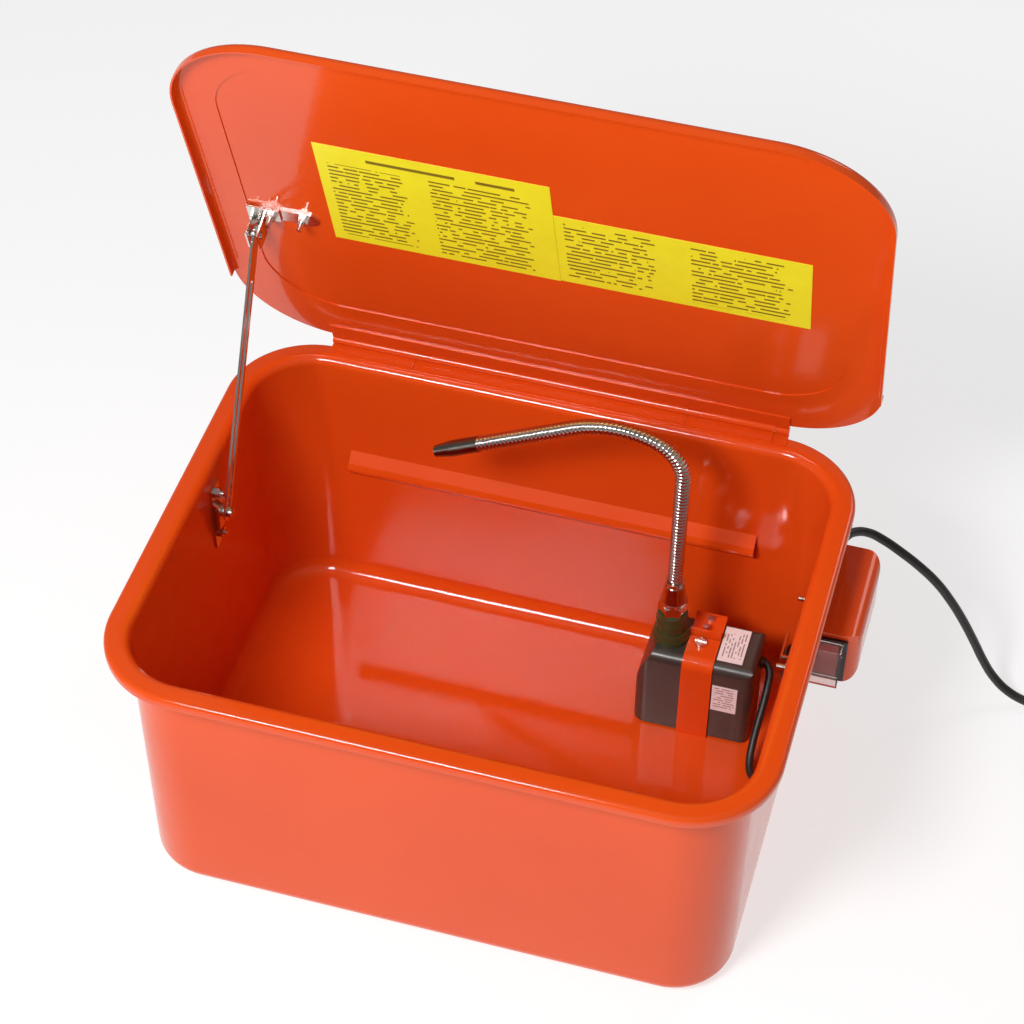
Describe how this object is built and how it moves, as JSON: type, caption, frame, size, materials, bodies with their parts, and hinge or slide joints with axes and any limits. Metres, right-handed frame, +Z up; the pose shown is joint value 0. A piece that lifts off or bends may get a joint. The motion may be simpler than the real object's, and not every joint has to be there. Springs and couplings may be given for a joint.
{
  "type": "parts washer tank",
  "caption": "Bench-top parts washer: deep round-cornered tank with a hinged lid on a stay, a strapped-in pump with a bendable metal hose, and a side switch box with a mains lead.",
  "frame": {"origin": "centre of the tank's underside, on the bench", "axes": "+X to the right along the tank's length, +Y to the hinge at the back, +Z up"},
  "size_m": [0.6878, 0.3427, 0.5496],
  "materials": {
    "painted": "glossy orange-red powder coat",
    "zinc": "bright zinc plate",
    "hose_chrome": "bright plated strip",
    "nozzle_dark": "dark plated",
    "brass": "turned",
    "pump_grey": "fine grain",
    "collar_green": "fine grain",
    "impeller": "plain",
    "copper": "enamelled winding on laminations",
    "rotor": "ground",
    "label_white": "printed film",
    "label_yellow": "printed film",
    "black_plastic": "satin",
    "rocker_red": "glossy",
    "boot_clear": "clear soft vinyl",
    "cord_black": "satin vinyl sheath"
  },
  "bodies": {
    "tank": {"tub_walls": "painted", "tub_floor": "painted", "tub_rim": "painted", "rear_shelf_rail": "painted", "hinge_leaf_tub": "painted", "hinge_pin": "zinc", "stay_bracket_lower": "zinc", "stay_bracket_screws": "zinc", "stay_bracket_nuts": "zinc", "pump_housing": "pump_grey", "pump_end_cap": "pump_grey", "pump_outlet_collar": "collar_green", "pump_stator": "copper", "pump_intake_screen": "black_plastic", "pump_strap_front": "painted", "pump_strap_rear": "painted", "pump_strap_screws": "zinc", "pump_labels": "label_white", "pump_lead": "cord_black", "pump_lead_boss": "black_plastic", "lead_bracket": "zinc", "lead_bracket_screw": "zinc", "wall_grommet": "black_plastic", "switch_box": "painted", "switch_box_studs": "zinc", "switch_box_nuts": "zinc", "switch_bezel": "black_plastic", "switch_boot": "boot_clear", "switch_terminals": "brass", "cord_relief": "black_plastic", "power_cord": "cord_black", "cord_coil": "cord_black", "cord_tie": "black_plastic", "plug_lead": "cord_black", "plug_body": "black_plastic", "plug_pins": "brass", "hose_nut": "hose_chrome"},
    "lid": {"lid": "painted", "hinge_leaf_lid": "painted", "lid_labels": "label_yellow", "stay_bracket_upper": "zinc", "lid_bracket_screws": "zinc", "lid_bracket_nuts": "zinc", "fusible_link": "zinc"},
    "stay_pivot": {"stay_pivot_screw": "zinc", "stay_pivot_nut": "zinc"},
    "stay": {"stay_arm": "zinc"},
    "hose_swivel": {"hose_ferrule": "hose_chrome"},
    "hose": {"hose_flex": "hose_chrome", "hose_nozzle": "nozzle_dark"},
    "rotor": {"pump_rotor": "rotor", "pump_impeller": "impeller"},
    "rocker": {"switch_rocker": "rocker_red"}
  },
  "joints": [
    {"name": "lid_hinge", "type": "hinge", "parent": "tank", "child": "lid", "pos_m": [0, 0.1707, 0.217], "axis": [1, 0, 0], "range_deg": [0, 71.3]},
    {"name": "stay_pivot", "type": "hinge", "parent": "tank", "child": "stay_pivot", "pos_m": [-0.194, 0.03, 0.173], "axis": [1, 0, 0], "range_deg": [0, 27.2]},
    {"name": "stay_slide", "type": "slide", "parent": "stay_pivot", "child": "stay", "axis": [0, -0.4489, -0.8936], "range_m": [0, 0.16013]},
    {"name": "hose_swivel", "type": "hinge", "parent": "tank", "child": "hose_swivel", "pos_m": [0.107, 0.09, 0.1138], "axis": [0, 0, 1], "range_deg": [-15, 100]},
    {"name": "hose_bend", "type": "hinge", "parent": "hose_swivel", "child": "hose", "pos_m": [0.107, 0.09, 0.1405], "axis": [0, -1, 0], "range_deg": [0, 55.05]},
    {"name": "pump_spin", "type": "hinge", "parent": "tank", "child": "rotor", "pos_m": [0.125, 0.0915, 0.0397], "axis": [1, 0, 0], "continuous": true},
    {"name": "rocker_tilt", "type": "hinge", "parent": "tank", "child": "rocker", "pos_m": [0.2225, 0.036, 0.157], "axis": [1, 0, 0], "range_deg": [0, 14]}
  ],
  "couplings": [
    {"joint": "stay_pivot", "follows": "lid_hinge", "ratio": 0.38078},
    {"joint": "stay_slide", "follows": "lid_hinge", "m_per_rad": 0.12844},
    {"joint": "hose_bend", "follows": "lid_hinge", "ratio": 0.77139}
  ]
}
